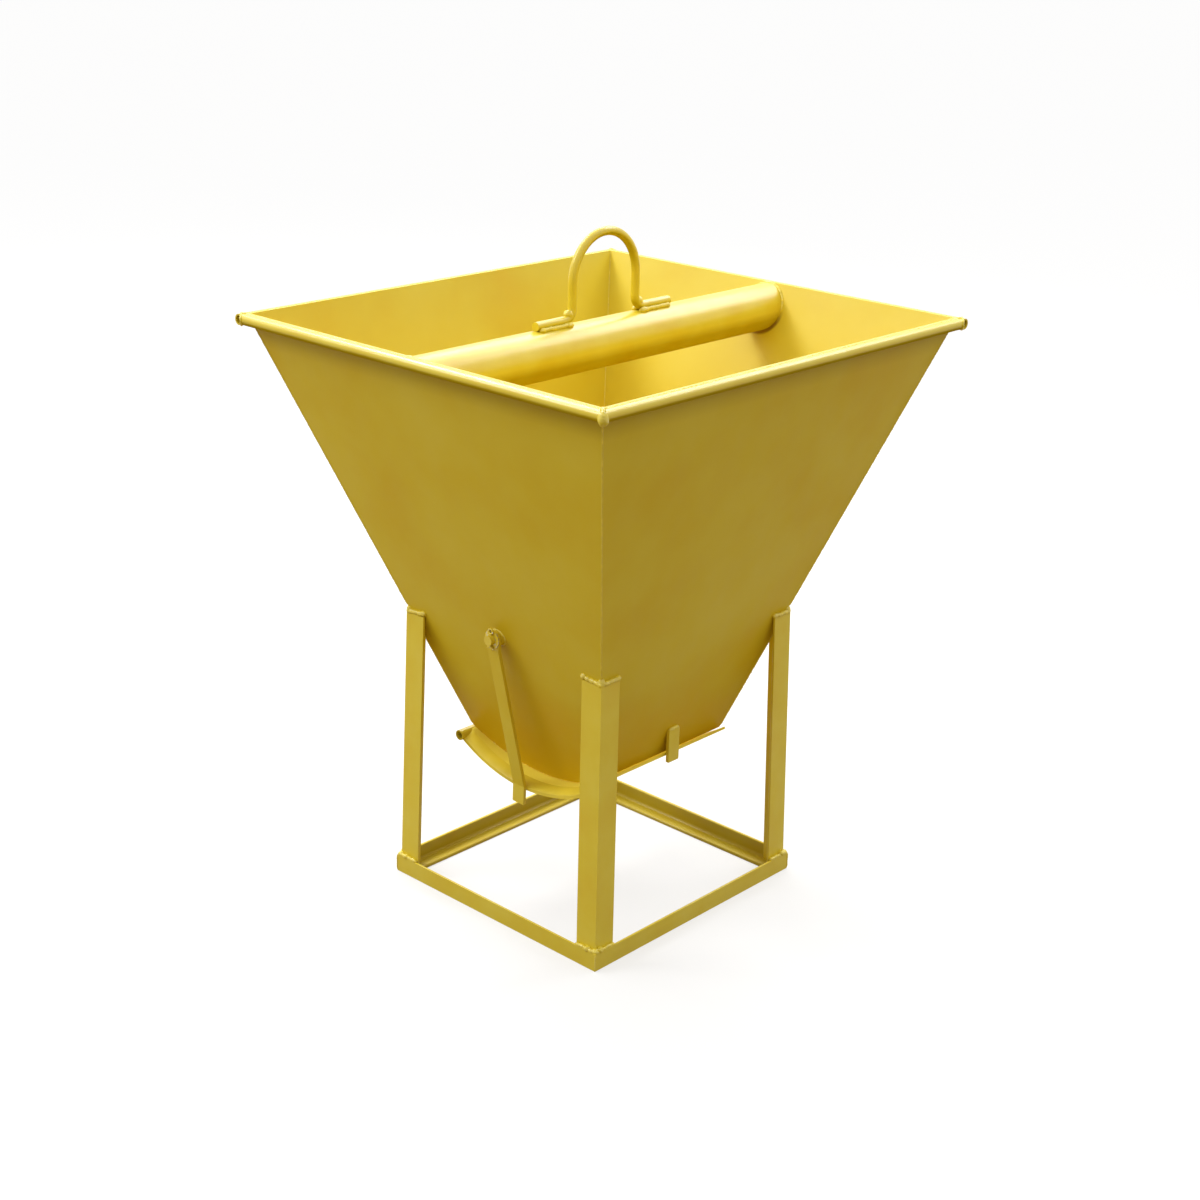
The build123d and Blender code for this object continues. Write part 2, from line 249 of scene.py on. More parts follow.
mouth_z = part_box("right_wall")[0].z
arc_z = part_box("front_wall")[0].z
top_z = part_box("right_wall")[1].z
mouth_half = extreme("right_wall", 0, mouth_z, max)
top_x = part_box("right_wall")[1].x
top_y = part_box("back_wall")[1].y
inset_x = top_x - extreme("right_wall", 0, top_z, min)
inset_y = top_y - extreme("back_wall", 1, top_z, min)
slope_x = (top_x - mouth_half) / (top_z - mouth_z)
slope_y = (top_y - mouth_half) / (top_z - mouth_z)
rim_radius = half("front_rim_tube", 2)
rim_x = middle("right_rim_tube", 0)
rim_y = -middle("front_rim_tube", 1)
rim_z = middle("front_rim_tube", 2)
pipe_radius = half("cross_pipe", 0)
pipe_z = middle("cross_pipe", 2)
bar_radius = half("lifting_loop", 0)
leg_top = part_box("front_right_leg")[1].z
leg_width = extreme("front_right_leg", 0, leg_top, max) - extreme("front_right_leg", 0, leg_top, min)
base_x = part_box("right_base_bar")[1].x
base_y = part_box("back_base_bar")[1].y
base_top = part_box("front_base_bar")[1].z
pivot_z = middle("front_pivot_washer", 2)
boss_radius = half("front_pivot_stub", 0)
skin_radius = pivot_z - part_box("gate_plate")[0].z
rib_radius = pivot_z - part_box("front_gate_rib")[0].z
rib_in = -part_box("front_gate_rib")[1].y
rib_out = -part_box("front_gate_rib")[0].y
rib_points = [v.co for v in nodes["front_gate_rib"].data.vertices]
rib_edge = min(math.hypot(p.x, pivot_z - p.z) for p in rib_points if p.y < HAIR - rib_out)
handle_angle = math.atan2(middle("gate_handle_tube", 0), pivot_z - middle("gate_handle_tube", 2))
handle_turn = half("gate_handle_tube", 0) / skin_radius


def wall_x(z):
    """Half the hopper's outside width along X at a height."""
    return mouth_half + slope_x * (z - mouth_z)


def wall_y(z):
    """Half the hopper's outside width along Y at a height."""
    return mouth_half + slope_y * (z - mouth_z)


def corner(z, sx, sy, out=0.0):
    """Outside corner of the hopper at a height, moved out by a distance."""
    return Vector((sx * (wall_x(z) + out), sy * (wall_y(z) + out), z))


def inner_corner(z, sx, sy):
    """Inside corner of the hopper at a height."""
    return Vector((sx * (wall_x(z) - inset_x), sy * (wall_y(z) - inset_y), z))


# Materials
def new_material(name):
    """Material with a Principled shader; returns it with its node tree and its shader."""
    material = bpy.data.materials.new(name)
    material.use_nodes = True
    tree = material.node_tree
    return material, tree, tree.nodes["Principled BSDF"]


def object_place(tree):
    """The object's own coordinates."""
    return tree.nodes.new("ShaderNodeTexCoord").outputs["Object"]


def noise_node(tree, place, scale, detail, stretch=(1, 1, 1)):
    """Noise over coordinates; a stretch below 1 draws it out along that axis."""
    mapping = tree.nodes.new("ShaderNodeMapping")
    mapping.inputs["Scale"].default_value = stretch
    tree.links.new(place, mapping.inputs["Vector"])
    texture = tree.nodes.new("ShaderNodeTexNoise")
    texture.inputs["Scale"].default_value = scale
    texture.inputs["Detail"].default_value = detail
    tree.links.new(mapping.outputs["Vector"], texture.inputs["Vector"])
    return texture.outputs["Fac"]


def ramp_node(tree, factor, stops):
    """Colour ramp; stops are (position, colour) pairs."""
    ramp = tree.nodes.new("ShaderNodeValToRGB")
    elements = ramp.color_ramp.elements
    while len(elements) < len(stops):
        elements.new(0.5)
    for element, (position, colour) in zip(elements, stops):
        element.position = position
        element.color = (*colour, 1)
    tree.links.new(factor, ramp.inputs["Fac"])
    return ramp.outputs["Color"]


def range_node(tree, value, to_low, to_high, from_low=0.0, from_high=1.0):
    """Spreads a value from one range to another."""
    spread = tree.nodes.new("ShaderNodeMapRange")
    spread.inputs["From Min"].default_value = from_low
    spread.inputs["From Max"].default_value = from_high
    spread.inputs["To Min"].default_value = to_low
    spread.inputs["To Max"].default_value = to_high
    tree.links.new(value, spread.inputs["Value"])
    return spread.outputs["Result"]


def bump_node(tree, height, distance, under=None):
    """Bump of a real height in metres, laid over another bump."""
    bump = tree.nodes.new("ShaderNodeBump")
    bump.inputs["Distance"].default_value = distance
    tree.links.new(height, bump.inputs["Height"])
    if under is not None:
        tree.links.new(under, bump.inputs["Normal"])
    return bump.outputs["Normal"]


def lean_node(tree):
    """0 on faces that look straight down, 1 on faces that look straight up."""
    split = tree.nodes.new("ShaderNodeSeparateXYZ")
    tree.links.new(tree.nodes.new("ShaderNodeNewGeometry").outputs["Normal"], split.inputs[0])
    return range_node(tree, split.outputs["Z"], 0, 1, -1, 1)


def math_node(tree, operation, *values, clamp=False):
    """Result of an operation on one or two sockets, held between 0 and 1 with clamp."""
    node = tree.nodes.new("ShaderNodeMath")
    node.operation = operation
    node.use_clamp = clamp
    for value, socket in zip(values, node.inputs):
        tree.links.new(value, socket)
    return node.outputs[0]


def shade_below_rim(depth):
    """Painted shade on faces that look down: all of it right below the rim, none from a depth on."""
    def amount(tree, axes):
        down = range_node(tree, lean_node(tree), 1, 0, *DOWN_LEAN)
        near = range_node(tree, axes["Z"], 0, 1, rim_z - depth, rim_z - rim_radius)
        return math_node(tree, "MULTIPLY", down, near)
    return amount


def shade_inside_frame(tree, axes):
    """Painted shade inside the stand's frame, under the hopper, and none on its outer faces."""
    parts = []
    for axis, reach in (("X", base_x), ("Y", base_y)):
        away = math_node(tree, "ABSOLUTE", axes[axis])
        parts.append(range_node(tree, away, 1, 0, reach - FRAME_SHADE_FULL, reach - FRAME_SHADE_FROM))
    return math_node(tree, "MULTIPLY", *parts)


def shade_under_pipe_ends(tree, axes):
    """Painted shade inside the hopper along the lower edges of the cross pipe's ends, in the gaps where their
    welds stop.
    """
    reach = 2 * pipe_radius
    drop = range_node(tree, axes["Z"], -reach, reach, pipe_z - reach, pipe_z + reach)
    squares = [math_node(tree, "MULTIPLY", side, side) for side in (axes["X"], drop)]
    away = math_node(tree, "SQRT", math_node(tree, "ADD", *squares))
    near = range_node(tree, away, 1, 0, pipe_radius + GAP_SHADE_CORE, pipe_radius + GAP_SHADE_WIDTH)
    below = range_node(tree, drop, 1, 0, -GAP_SHADE_TAPER, 0)
    inside = range_node(tree, lean_node(tree), 0, 1, *UP_LEAN)
    edge = math_node(tree, "MULTIPLY", near, below)
    return math_node(tree, "MULTIPLY", edge, inside)


def inside_mouth(tree, axes):
    """1 on the gate's plate between the front and back plates, falling to 0 at their outer faces; outside them
    the plate keeps the painted light of its ledge.
    """
    away = math_node(tree, "ABSOLUTE", axes["Y"])
    flare = range_node(tree, axes["Z"], wall_y(arc_z), wall_y(mouth_z), arc_z, mouth_z)
    margin = math_node(tree, "SUBTRACT", flare, away)
    return range_node(tree, margin, 0, 1, 0, inset_y)


def tint_node(tree, colour, amount, tint):
    """Colour under a painted tint, whose amount goes from 0 to 1."""
    mix = tree.nodes.new("ShaderNodeMix")
    mix.data_type = "RGBA"
    mix.blend_type = "MULTIPLY"
    mix.inputs[MIX_TINT].default_value = (*tint, 1)
    tree.links.new(amount, mix.inputs[MIX_AMOUNT])
    tree.links.new(colour, mix.inputs[MIX_COLOUR])
    return mix.outputs[MIX_RESULT]


def grey(level):
    """Grey of one level."""
    return (level, level, level)


def paint_material(name, stops, patches, peel, dents, gloss, shine, fade=None, painted_tints=()):
    """Sprayed enamel: patchy colour, orange peel, dents and uneven gloss.

    Stops are the colours of the patches, and patches is the scale of their noise. Peel and dents are pairs of
    a noise's scale and a height. Gloss is the range of the roughness, and shine the specular level of faces
    that look down, sideways and up. With fade, two heights, the colour turns deeper from the higher one down
    to the lower one, a painted bounce light. Painted tints are pairs of a function that gives the amount and a
    tint; they paint shade, or take painted light off.
    """
    material, tree, shader = new_material(name)
    place = object_place(tree)
    split = tree.nodes.new("ShaderNodeSeparateXYZ")
    tree.links.new(place, split.inputs[0])
    patch = noise_node(tree, place, patches, PATCH_DETAIL)
    if fade:
        shift = range_node(tree, split.outputs["Z"], FADE_SHIFT, 0, *fade)
        patch = math_node(tree, "ADD", patch, shift)
    colour = ramp_node(tree, patch, stops)
    for amount, tint in painted_tints:
        colour = tint_node(tree, colour, amount(tree, split.outputs), tint)
    tree.links.new(colour, shader.inputs["Base Color"])
    haze = noise_node(tree, place, HAZE_SCALE, HAZE_DETAIL, HAZE_STRETCH)
    tree.links.new(range_node(tree, haze, *gloss), shader.inputs["Roughness"])
    dent_scale, dent_height = dents
    wave = noise_node(tree, place, dent_scale, DENT_DETAIL)
    dented = bump_node(tree, wave, dent_height)
    peel_scale, peel_height = peel
    grain = noise_node(tree, place, peel_scale, PEEL_DETAIL)
    tree.links.new(bump_node(tree, grain, peel_height, dented), shader.inputs["Normal"])
    levels = [(lean, grey(level)) for lean, level in zip(SHINE_LEANS, shine)]
    tree.links.new(ramp_node(tree, lean_node(tree), levels), shader.inputs["Specular IOR Level"])
    return material


def steel_material(name):
    """Dull turned steel with paint spatter."""
    material, tree, shader = new_material(name)
    spatter = noise_node(tree, object_place(tree), SPATTER_SCALE, SPATTER_DETAIL)
    colour = ramp_node(tree, spatter, list(zip(SPATTER_LEVELS, (STEEL, YELLOW))))
    tree.links.new(colour, shader.inputs["Base Color"])
    bare = ramp_node(tree, spatter, list(zip(SPATTER_LEVELS, (grey(1), grey(0)))))
    tree.links.new(bare, shader.inputs["Metallic"])
    tree.links.new(range_node(tree, spatter, *STEEL_ROUGHNESS), shader.inputs["Roughness"])
    tree.links.new(bump_node(tree, spatter, SPATTER_HEIGHT), shader.inputs["Normal"])
    return material


SHEET_PEEL = (420, 0.00006)
BAR_COLOURS = [(0.3, YELLOW_DEEP), (0.52, YELLOW), (0.75, YELLOW_PALE)]
BAR_FINISH = {
    "peel": (520, 0.00008),
    "dents": (60, 0.0002),
    "gloss": (0.32, 0.5),
    "shine": (0.05, 0.35, 0.5),
}

plate_paint = paint_material(
    "plate_paint",
    stops=[(0.12, ORANGE), (0.34, YELLOW_DEEP), (0.5, YELLOW), (0.72, YELLOW_PALE)],
    patches=5,
    peel=SHEET_PEEL,
    dents=(7, 0.0006),
    gloss=(0.34, 0.52),
    shine=(0.08, 0.25, 0.8),
    # Deeper and oranger towards the mouth: painted bounce light on the lower walls
    fade=(mouth_z, mouth_z + FADE_HEIGHT),
    # Painted shade below the rim and in the gaps below the cross pipe's ends
    painted_tints=[(shade_below_rim(PLATE_SHADE_DEPTH), SHADE_TINT), (shade_under_pipe_ends, GAP_SHADE_TINT)],
)
gate_paint_and_light = paint_material(
    "gate_paint_and_light",
    # Pale yellows: painted light on the ledge outside the walls
    stops=[(0.2, LIT_YELLOW), (0.5, LIT_LEMON)],
    patches=9,
    peel=SHEET_PEEL,
    dents=(30, 0.0003),
    gloss=(0.36, 0.55),
    shine=(0.05, 0.3, 0.4),
    # Inside the mouth the plate loses its painted light
    painted_tints=[(inside_mouth, UNLIT_GATE_TINT)],
)
# The rib's paler stop is painted light on the rib below the ledge
rib_paint_and_light = paint_material("rib_paint_and_light", stops=[(0.35, YELLOW), (0.65, LIT_YELLOW)], patches=12, **BAR_FINISH)
base_paint = paint_material(
    # Painted shade inside the frame
    "base_paint", stops=BAR_COLOURS, patches=14, painted_tints=[(shade_inside_frame, SHADE_TINT)], **BAR_FINISH
)
bar_paint = paint_material("bar_paint", stops=BAR_COLOURS, patches=14, **BAR_FINISH)
round_paint = paint_material(
    "round_paint",
    stops=BAR_COLOURS,
    patches=18,
    peel=(520, 0.00005),
    dents=(16, 0.0002),
    gloss=(0.24, 0.38),
    shine=(0.0, 0.4, 1.0),
    # Painted shade on the undersides of round stock
    painted_tints=[(shade_below_rim(rim_z - pivot_z), SHADE_TINT)],
)
weld_paint_and_highlight = paint_material(
    "weld_paint_and_highlight",
    # Paler than the plates: painted highlights on the beads
    stops=[(0.28, YELLOW), (0.5, YELLOW_PALE), (0.68, LIT_YELLOW)],
    patches=120,
    peel=(900, 0.0002),
    dents=(260, 0.0005),
    gloss=(0.22, 0.42),
    shine=(0.1, 0.7, 1.0),
)
pin_steel = steel_material("pin_steel")

FINISHES = {
    ("wall",): plate_paint,
    ("gate_plate",): gate_paint_and_light,
    ("gate_rib",): rib_paint_and_light,
    ("base_bar",): base_paint,
    ("rim_tube", "cross_pipe", "lifting_loop", "handle_tube", "pivot_stub"): round_paint,
    ("pivot_washer", "split_pin"): pin_steel,
}
FLATS = ("leg", "base_bar", "gate_arm", "gate_rib", "stop_tab")


def finish_of(name):
    """Paint of a CAD node."""
    for ends, paint in FINISHES.items():
        if name.endswith(ends):
            return paint
    return bar_paint


def round_edges(node):
    """Takes the knife edge off a rolled bar or a flat."""
    weld = node.modifiers.new("join", "WELD")
    weld.merge_threshold = JOIN_DISTANCE
    bevel = node.modifiers.new("round", "BEVEL")
    bevel.width = EDGE_ROUND
    bevel.segments = EDGE_SEGMENTS
    bevel.limit_method = "ANGLE"
    bevel.angle_limit = math.radians(EDGE_ANGLE)
    bevel.harden_normals = True


for name, node in nodes.items():
    node.data.materials.clear()
    node.data.materials.append(finish_of(name))
    if name.endswith(FLATS):
        round_edges(node)


# Weld beads
def turns(count):
    """Angles of one full turn in even steps."""
    return [2 * math.pi * i / count for i in range(count)]


def new_object(name, data):
    """Object in the scene with some data."""
    made = bpy.data.objects.new(name, data)
    bpy.context.scene.collection.objects.link(made)
    return made


def resample(points, step, closed):
    """Points at even steps along a polyline."""
    loop = points + points[:1] if closed else points
    out = []
    for start, end in zip(loop, loop[1:]):
        count = max(1, round((end - start).length / step))
        out.extend(start.lerp(end, i / count) for i in range(count))
    if not closed:
        out.append(loop[-1])
    return out


def add_bead(mesh, points, radius, seed, closed=False):
    """Rippled weld bead along a polyline, added to a bmesh."""
    path = resample([Vector(p) for p in points], RIPPLE / RIPPLE_STEPS, closed)
    total = len(path)
    side = Vector((0, 0, 1))
    rings = []
    for i, point in enumerate(path):
        before = path[i - 1] if closed or i else path[0]
        after = path[(i + 1) % total] if closed or i + 1 < total else path[-1]
        tangent = (after - before).normalized()
        side = side - tangent * side.dot(tangent)
        if side.length < LEAST_SIDE:
            side = tangent.orthogonal()
        side.normalize()
        other = tangent.cross(side)
        along = Vector((i * BEAD_NOISE_STEP, seed * BEAD_NOISE_SEED, 0))
        ripple = BEAD_RIPPLE * math.cos(i * 2 * math.pi / RIPPLE_STEPS)
        size = radius * (BEAD_MEAN + ripple + BEAD_SWELL * noise.noise(along))
        if not closed:
            size *= min(1, BEAD_END + BEAD_END_STEP * min(i, total - 1 - i))
        drift = side * noise.noise(along + DRIFT_SHIFT) + other * noise.noise(along)
        centre = point + drift * radius * BEAD_DRIFT
        ring = []
        for turn in turns(BEAD_SIDES):
            away = side * math.cos(turn) + other * math.sin(turn)
            ring.append(mesh.verts.new(centre + away * size))
        rings.append(ring)
    pairs = list(zip(rings, rings[1:]))
    if closed:
        pairs.append((rings[-1], rings[0]))
    for first, second in pairs:
        for k in range(BEAD_SIDES):
            after = (k + 1) % BEAD_SIDES
            mesh.faces.new((first[k], first[after], second[after], second[k]))
    if not closed:
        mesh.faces.new(list(reversed(rings[0])))
        mesh.faces.new(rings[-1])


def add_lump(mesh, place, sizes, seed):
    """Uneven lump of weld metal, added to a bmesh."""
    made = bmesh.ops.create_icosphere(mesh, subdivisions=LUMP_SUBDIVISIONS, radius=1)
    shift = Vector((seed * LUMP_NOISE_SEED, 0, 0))
    for vert in made["verts"]:
        rough = 1 + LUMP_ROUGHNESS * noise.noise(vert.co * LUMP_NOISE_SCALE + shift)
        vert.co = place + Vector([c * s * rough for c, s in zip(vert.co, sizes)])


def weld_piece(name, body, runs, radius, lumps=(), replaced=None, closed=False):
    """One object of weld beads and lumps that rides on a body."""
    mesh = bmesh.new()
    for seed, points in enumerate(runs):
        add_bead(mesh, points, radius, seed + len(name), closed)
    for seed, (place, sizes) in enumerate(lumps):
        add_lump(mesh, place, sizes, seed + len(name))
    bmesh.ops.recalc_face_normals(mesh, faces=mesh.faces)
    data = bpy.data.meshes.new(name)
    mesh.to_mesh(data)
    mesh.free()
    data.shade_smooth()
    data.materials.append(weld_paint_and_highlight)
    piece = new_object(name, data)
    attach(piece, body)
    if replaced:
        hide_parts(replaced)


def stitches(start, end, run, gap):
    """Short runs along a line, with gaps between them."""
    length = (end - start).length
    count = max(1, int((length + gap) / (run + gap)))
    step = (length - run) / max(1, count - 1)
    starts = [i * step for i in range(count)]
    return [[start.lerp(end, s / length), start.lerp(end, (s + run) / length)] for s in starts]


def hopper_seams():
    """Corner welds of the hopper: outside above and below the legs' tops, inside all the way."""
    runs = []
    for sx, sy in CORNERS:
        runs.append([corner(leg_top + SEAM_OVER_LEG, sx, sy), corner(rim_z - rim_radius, sx, sy)])
        runs.append([corner(mouth_z + SEAM_OVER_MOUTH, sx, sy), corner(leg_top - SEAM_UNDER_LEG, sx, sy)])
    weld_piece("corner_seams", "bucket", runs, SEAM_BEAD)
    ends = (mouth_z + SEAM_OVER_MOUTH, top_z - SEAM_SETBACK)
    inner = [[inner_corner(z, sx, sy) for z in ends] for sx, sy in CORNERS]
    weld_piece("inner_seams", "bucket", inner, FINE_BEAD)


def rim_seams():
    """Bead in the groove between rim and plates, and stitches below the rim."""
    groove = [corner(top_z - GROOVE_SINK, sx, sy, GROOVE_OUT) for sx, sy in CORNERS]
    weld_piece("groove_bead", "bucket", [groove], GROOVE_BEAD, closed=True)
    under = [corner(rim_z - UNDER_SINK, sx, sy, UNDER_OUT) for sx, sy in CORNERS]
    runs = []
    for start, end in zip(under, under[1:] + under[:1]):
        first, last = (start.lerp(end, share) for share in UNDER_ENDS)
        runs += stitches(first, last, STITCH, STITCH_GAP)
    weld_piece("under_stitches", "bucket", runs, RIM_BEAD)


def rim_joints():
    """Beads round the three joints where a rim tube meets another, and round the mitre with its knob."""
    front_left = []
    back_left = []
    back_right = []
    mitre = []
    for turn in turns(RIM_STEPS):
        flat = rim_radius * math.cos(turn)
        z = rim_z + rim_radius * math.sin(turn)
        front_left.append(Vector((abs(flat) - rim_x, flat - rim_y, z)))
        back_left.append(Vector((abs(flat) - rim_x, flat + rim_y, z)))
        back_right.append(Vector((flat + rim_x, rim_y - abs(flat), z)))
        mitre.append(Vector((rim_x + flat, -rim_y - flat, z)))
    weld_piece("rim_joint_beads", "bucket", [front_left, back_left, back_right], SMALL_BEAD, closed=True)
    knob = (Vector((rim_x + KNOB_OUT, -rim_y - KNOB_OUT, rim_z - KNOB_SINK)), KNOB_SIZE)
    weld_piece("rim_mitre_bead", "bucket", [mitre], MITRE_BEAD, [knob], closed=True)


def pipe_welds():
    """Beads round the upper part of the cross pipe's ends."""
    runs = []
    for sy in (-1, 1):
        run = []
        for i in range(PIPE_STEPS + 1):
            turn = math.radians(-PIPE_WELD_DIP + (180 + 2 * PIPE_WELD_DIP) * i / PIPE_STEPS)
            z = pipe_z + pipe_radius * math.sin(turn)
            run.append(Vector((pipe_radius * math.cos(turn), sy * (wall_y(z) - inset_y), z)))
        runs.append(run)
    weld_piece("pipe_end_beads", "bucket", runs, PIPE_BEAD)


def loop_welds():
    """Beads along the loop's feet, lumps at their ends and a lump in each knee."""
    low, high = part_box("lifting_loop")
    middle_y = (low.y + high.y) / 2
    middle_z = (low.z + high.z) / 2
    upper = [v.co for v in nodes["lifting_loop"].data.vertices if v.co.z > middle_z]
    leg_half = max(abs(point.y - middle_y) for point in upper) - bar_radius
    knee_z = low.z + bar_radius + KNEE
    bend = (KNEE - bar_radius + KNEE_LUMP_OUT) * math.sin(math.pi / 4)
    runs = []
    lumps = []
    for sy, end in ((-1, low.y), (1, high.y)):
        knee = middle_y + sy * (leg_half + KNEE)
        lumps.append((Vector((0, knee - sy * bend, knee_z - bend)), KNEE_LUMP))
        for sx in (-1, 1):
            x = sx * (bar_radius + LOOP_OUT)
            z = pipe_z + math.sqrt(pipe_radius**2 - x**2) + LOOP_LIFT
            runs.append([Vector((x, y - sy * LOOP_BACK, z)) for y in (knee, end)])
            lumps.append((Vector((x, knee - sy * NEAR_LUMP_BACK, z)), NEAR_LUMP))
            lumps.append((Vector((x * END_LUMP_SHARE, end - sy * END_LUMP_BACK, z)), END_LUMP))
    weld_piece("loop_beads", "bucket", runs, LOOP_BEAD, lumps, "loop_welds")


def leg_top_welds():
    """Fillets over the legs' tops, with lumps at their ends and over the heels."""
    reach = leg_width - TOP_SHORT
    runs = []
    lumps = []
    for sx, sy in CORNERS:
        heel = corner(leg_top, sx, sy, TOP_OUT) + Vector((0, 0, TOP_LIFT))
        end_x = heel - Vector((sx * reach, 0, -TOP_RISE_X))
        end_y = heel - Vector((0, sy * reach, -TOP_RISE_Y))
        runs.append([end_x, heel, end_y])
        lumps.append((heel - Vector((sx * reach, 0, -TOP_LUMP_RISE)), TOP_LUMP_X))
        lumps.append((end_y, TOP_LUMP_Y))
        lumps.append((corner(leg_top + HEEL_LUMP_LIFT, sx, sy), HEEL_LUMP))
    weld_piece("leg_top_beads", "bucket", runs, LEG_BEAD, lumps, "leg_top_welds")


def leg_foot_welds():
    """Beads round the legs' feet on the base, with lumps on them."""
    reach = leg_width + FOOT_PAST
    runs = []
    lumps = []
    for sx, sy in CORNERS:
        foot = Vector((sx * (base_x - FOOT_IN), sy * (base_y - FOOT_IN), base_top + FOOT_LIFT))
        runs.append([foot - Vector((sx * reach, 0, 0)), foot, foot - Vector((0, sy * reach, 0))])
        for x, y, z in FOOT_LUMP_STEPS:
            lumps.append((foot - Vector((sx * x, sy * y, z)), FOOT_LUMP))
    weld_piece("leg_foot_beads", "bucket", runs, FOOT_BEAD, lumps, "leg_foot_welds")


def base_seams():
    """Seams of the base's mitred corners."""
    ends = (SEAM_SETBACK, base_top - SEAM_SETBACK)
    runs = [[Vector((sx * base_x, sy * base_y, z)) for z in ends] for sx, sy in CORNERS]
    weld_piece("base_corner_seams", "bucket", runs, FINE_BEAD)


def boss_welds():
    """Rings round the pivots' bosses."""
    rings = []
    for sy in (-1, 1):
        ring = []
        for turn in turns(BOSS_STEPS):
            z = pivot_z + boss_radius * math.sin(turn)
            ring.append(Vector((boss_radius * math.cos(turn), sy * wall_y(z), z)))
        rings.append(ring)
    weld_piece("boss_beads", "bucket", rings, SMALL_BEAD, closed=True)


def stop_weld():
    """Bead over the stop tab."""
    low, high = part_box("stop_tab")
    x = (wall_x(high.z) + high.x) / 2
    run = [Vector((x, y, high.z + TAB_LIFT)) for y in (low.y + TAB_INSET, high.y - TAB_INSET)]
    weld_piece("stop_tab_bead", "bucket", [run], FOOT_BEAD, replaced="stop_tab_weld")


def gate_point(radius, angle, y):
    """Point about the gate's pivot; the angle in radians from straight down, positive towards +X."""
    return Vector((radius * math.sin(angle), y, pivot_z - radius * math.cos(angle)))


def rib_stitches():
    """Stitches below the gate's plate along its ribs."""
    turn = STITCH / skin_radius
    first = handle_angle + 2 * handle_turn
    runs = []
    for node, y in (("front_gate_rib", GATE_LAP - rib_in), ("back_gate_rib", rib_in - GATE_LAP)):
        last = math.asin(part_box(node)[1].x / rib_radius) - turn
        count = max(2, int((last - first) * skin_radius / (STITCH + STITCH_GAP)) + 1)
        for i in range(count):
            start = first + (last - turn - first) * i / (count - 1)
            angles = [start + turn * k / GATE_STEPS for k in range(GATE_STEPS + 1)]
            runs.append([gate_point(skin_radius + GATE_LAP, angle, y) for angle in angles])
    return runs


def handle_stitches():
    """Stitches below the gate's plate beside its handle."""
    runs = []
    for y in HANDLE_STITCHES:
        ends = (y - STITCH / 2, y + STITCH / 2)
        runs.append([gate_point(skin_radius + GATE_LAP, handle_angle + handle_turn, end) for end in ends])
    return runs


def arm_beads():
    """Beads along the edges of the gate's arms where they lie on the ribs."""
    ends = (rib_edge - GATE_LAP, rib_radius + GATE_LAP)
    runs = []
    for node, sy in (("front_gate_arm", -1), ("back_gate_arm", 1)):
        low_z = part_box(node)[0].z
        foot = [v.co.x for v in nodes[node].data.vertices if v.co.z < low_z + ARM_FOOT]
        for x in (min(foot), max(foot)):
            angle = math.atan2(x, pivot_z - low_z)
            runs.append([gate_point(radius, angle, sy * (rib_out + GATE_LAP)) for radius in ends])
    return runs


hopper_seams()
rim_seams()
rim_joints()
pipe_welds()
loop_welds()
leg_top_welds()
leg_foot_welds()
base_seams()
boss_welds()
stop_weld()
weld_piece("gate_beads", "gate", rib_stitches() + handle_stitches() + arm_beads(), SMALL_BEAD)


# Studio: pale floor, white surround, soft light from above and lamps at the back, the left and the front left
def empty_tree(owner):
    """Node tree of a material or a world, with no nodes in it."""
    owner.use_nodes = True
    owner.node_tree.nodes.clear()
    return owner.node_tree


def sight_rays(tree):
    """1 for rays that show the background: from the camera, in gloss and through glass."""
    path = tree.nodes.new("ShaderNodeLightPath")
    total = path.outputs["Is Camera Ray"]
    for kind in ("Is Glossy Ray", "Is Transmission Ray"):
        total = math_node(tree, "ADD", total, path.outputs[kind], clamp=True)
    return total


def mix_shaders(tree, first, second):
    """Mix of two shaders; its factor is left to be set."""
    mix = tree.nodes.new("ShaderNodeMixShader")
    tree.links.new(first.outputs[0], mix.inputs[1])
    tree.links.new(second.outputs[0], mix.inputs[2])
    return mix


def mix_by_sight(tree, other, sight, kind):
    """Output that shows one shader to sight rays and another to the rays that carry light."""
    mix = mix_shaders(tree, other, sight)
    tree.links.new(sight_rays(tree), mix.inputs["Fac"])
    tree.links.new(mix.outputs[0], tree.nodes.new(kind).inputs["Surface"])


def diffuse(tree, colour):
    """Matt shader of one colour."""
    shader = tree.nodes.new("ShaderNodeBsdfDiffuse")
    shader.inputs["Color"].default_value = (*colour, 1)
    return shader


def floor():
    """Pale floor that keeps the shadow; it throws back little light, as bare ground does."""
    bpy.ops.mesh.primitive_plane_add(size=FLOOR_SIZE)
    plane = bpy.context.object
    plane.name = "floor"
    material = bpy.data.materials.new("floor")
    tree = empty_tree(material)
    seen = mix_shaders(tree, diffuse(tree, grey(FLOOR_PALE)), tree.nodes.new("ShaderNodeEmission"))
    seen.inputs["Fac"].default_value = FLOOR_GLOW
    mix_by_sight(tree, diffuse(tree, GROUND), seen, "ShaderNodeOutputMaterial")
    plane.data.materials.append(material)


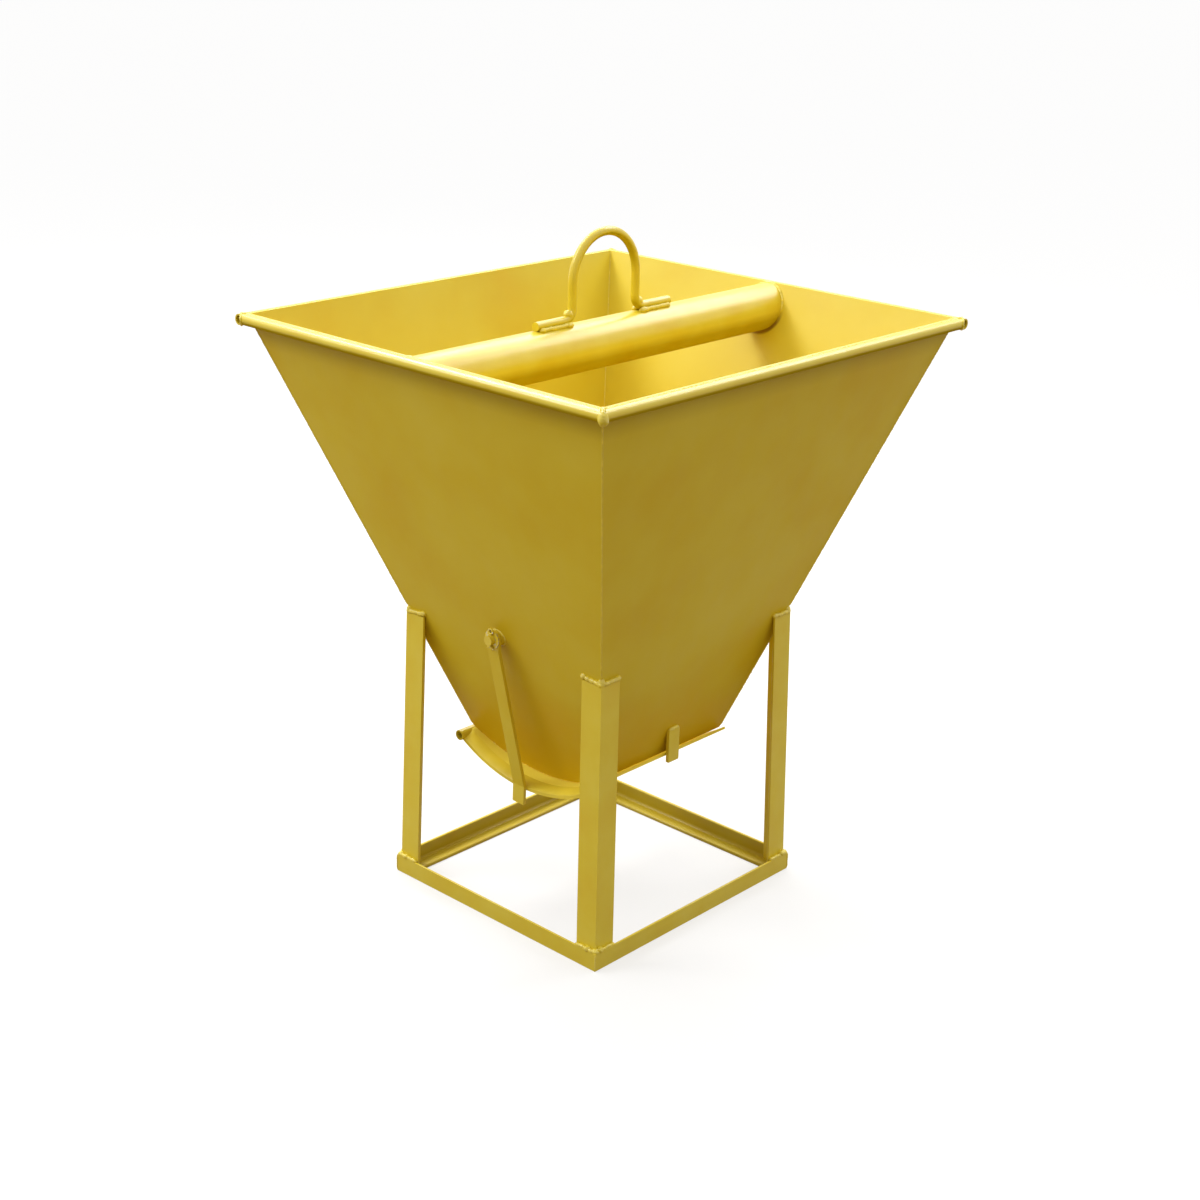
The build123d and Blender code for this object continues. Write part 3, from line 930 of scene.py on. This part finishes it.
def sky():
    """White surround; its light is strong from above and weak and warm at the horizon."""
    world = bpy.data.worlds.new("studio")
    bpy.context.scene.world = world
    tree = empty_tree(world)
    height = tree.nodes.new("ShaderNodeVectorMath")
    height.operation = "DOT_PRODUCT"
    height.inputs[1].default_value = SKY_TOP
    tree.links.new(tree.nodes.new("ShaderNodeTexCoord").outputs["Generated"], height.inputs[0])
    low = [(0.0, SKY_LOW), (0.25, SKY_WARM)]
    stops = low + [(0.5, grey(0.74)), (0.85, grey(0.86)), (1.0, grey(1))]
    light = tree.nodes.new("ShaderNodeBackground")
    light.inputs["Strength"].default_value = SKY_STRENGTH
    tree.links.new(ramp_node(tree, height.outputs["Value"], stops), light.inputs["Color"])
    white = tree.nodes.new("ShaderNodeBackground")
    white.inputs["Color"].default_value = (1, 1, 1, 1)
    mix_by_sight(tree, light, white, "ShaderNodeOutputWorld")


def lamp(name, place, target, size, power):
    """Soft rectangular light aimed at a point."""
    data = bpy.data.lights.new(name, "AREA")
    data.shape = "RECTANGLE"
    data.size, data.size_y = size
    data.energy = power
    light = new_object(name, data)
    light.location = place
    light.rotation_euler = (Vector(place) - Vector(target)).to_track_quat("Z", "Y").to_euler()


def camera():
    """Camera at the photograph's angle."""
    azimuth, elevation, roll = (math.radians(a) for a in (CAMERA_AZIMUTH, CAMERA_ELEVATION, CAMERA_ROLL))
    level = Vector((math.sin(azimuth), -math.cos(azimuth), 0))
    back = level * math.cos(elevation) + Vector((0, 0, math.sin(elevation)))
    right = Vector((math.cos(azimuth), math.sin(azimuth), 0))
    axes = Matrix((right, back.cross(right), back)).transposed()
    data = bpy.data.cameras.new("camera")
    data.lens = CAMERA_LENS
    data.sensor_width = CAMERA_SENSOR
    data.clip_end = CAMERA_FAR
    eye = new_object("camera", data)
    turned = axes @ Matrix.Rotation(roll, 3, "Z")
    place = Vector((0, 0, CAMERA_TARGET_Z)) + back * CAMERA_DISTANCE
    eye.matrix_world = Matrix.Translation(place) @ turned.to_4x4()
    bpy.context.scene.camera = eye


floor()
sky()
lamp("back", place=(-0.6, 2.4, 3.2), target=(-0.1, 0, 0.9), size=(4.4, 0.9), power=72)
lamp("left", place=(-2.3, 0.1, 3.3), target=(0, 0, 0.9), size=(2.0, 0.7), power=60)
lamp("key", place=(-2.0, -2.3, 3.2), target=(0, 0, 0.45), size=(1.4, 1.4), power=46)
camera()
bpy.context.scene.view_settings.view_transform = "Standard"
